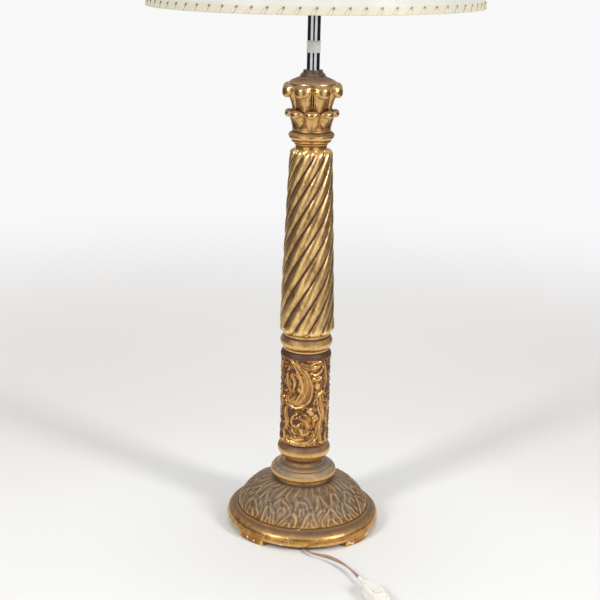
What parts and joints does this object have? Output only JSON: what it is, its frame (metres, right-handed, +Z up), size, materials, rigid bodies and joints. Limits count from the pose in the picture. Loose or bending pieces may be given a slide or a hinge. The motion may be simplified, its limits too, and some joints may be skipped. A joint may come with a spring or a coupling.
{
  "type": "candlestick floor lamp",
  "caption": "Turned and carved wooden candlestick lamp on a round domed base, with a conical laced shade, bright stem, flex, inline switch and plug.",
  "frame": {"origin": "on the floor, in the axis of the column, under the middle of the base", "axes": "+Z up along the column, -Y towards the front of the lamp, where the flex leaves"},
  "size_m": [0.502, 0.7264, 1.132],
  "materials": {
    "gilt_wood": "worn water gilding over gesso, grey wash in the hollows",
    "dark_bronze": "dark patinated",
    "bright_chrome": "polished",
    "threaded_steel": "zinc plated",
    "holder_black": "moulded",
    "holder_ceramic": "unglazed",
    "contact_brass": "bright",
    "bulb_cap_metal": "bright",
    "opal_glass": "opal",
    "parchment": "translucent parchment",
    "shade_wire": "cream lacquer",
    "thong": "natural hide",
    "flex_gold": "clear sheath over copper",
    "white_plastic": "moulded"
  },
  "bodies": {
    "root": {"base_rim": "gilt_wood", "base_dome": "gilt_wood", "base_disc": "gilt_wood", "base_torus": "gilt_wood", "carved_drum": "gilt_wood", "mid_ring": "gilt_wood", "reeded_shaft": "gilt_wood", "capital_collar": "gilt_wood", "capital": "gilt_wood", "riser_collar": "dark_bronze", "riser_tube": "bright_chrome", "riser_cap": "bright_chrome", "tie_rod": "threaded_steel", "base_washer": "threaded_steel", "base_nut": "threaded_steel", "holder_cap": "holder_black", "holder_insulator": "holder_ceramic", "terminal_blocks": "contact_brass", "centre_contact": "contact_brass", "holder_shell": "holder_black", "shade_ring_lower": "holder_black", "shade_ring_upper": "holder_black", "bulb_cap": "bulb_cap_metal", "bulb_glass": "opal_glass", "flex_front": "flex_gold", "flex_tail": "flex_gold", "flex_coil": "flex_gold", "flex_lead": "flex_gold", "inner_flex": "flex_gold", "switch_lower": "white_plastic", "switch_upper": "white_plastic", "switch_pin": "threaded_steel", "switch_contacts": "contact_brass", "switch_screws": "threaded_steel", "plug_body": "white_plastic", "plug_pins": "contact_brass", "cord_grip": "white_plastic", "grip_screws": "threaded_steel"},
    "shade": {"shade_skin": "parchment", "shade_bottom_ring": "shade_wire", "shade_top_ring": "shade_wire", "fitter_ring": "shade_wire", "shade_arms": "shade_wire", "lacing_bottom": "thong", "lacing_top": "thong"},
    "rocker": {"switch_rocker": "white_plastic"}
  },
  "joints": [
    {"name": "shade_swivel", "type": "hinge", "parent": "root", "child": "shade", "pos_m": [0, 0, 0.8878], "axis": [0, 0, 1], "continuous": true},
    {"name": "switch_rocker", "type": "hinge", "parent": "root", "child": "rocker", "pos_m": [0.10969, -0.26446, 0.0145], "axis": [0.9231, 0.3846, 0], "range_deg": [0, 16]}
  ]
}
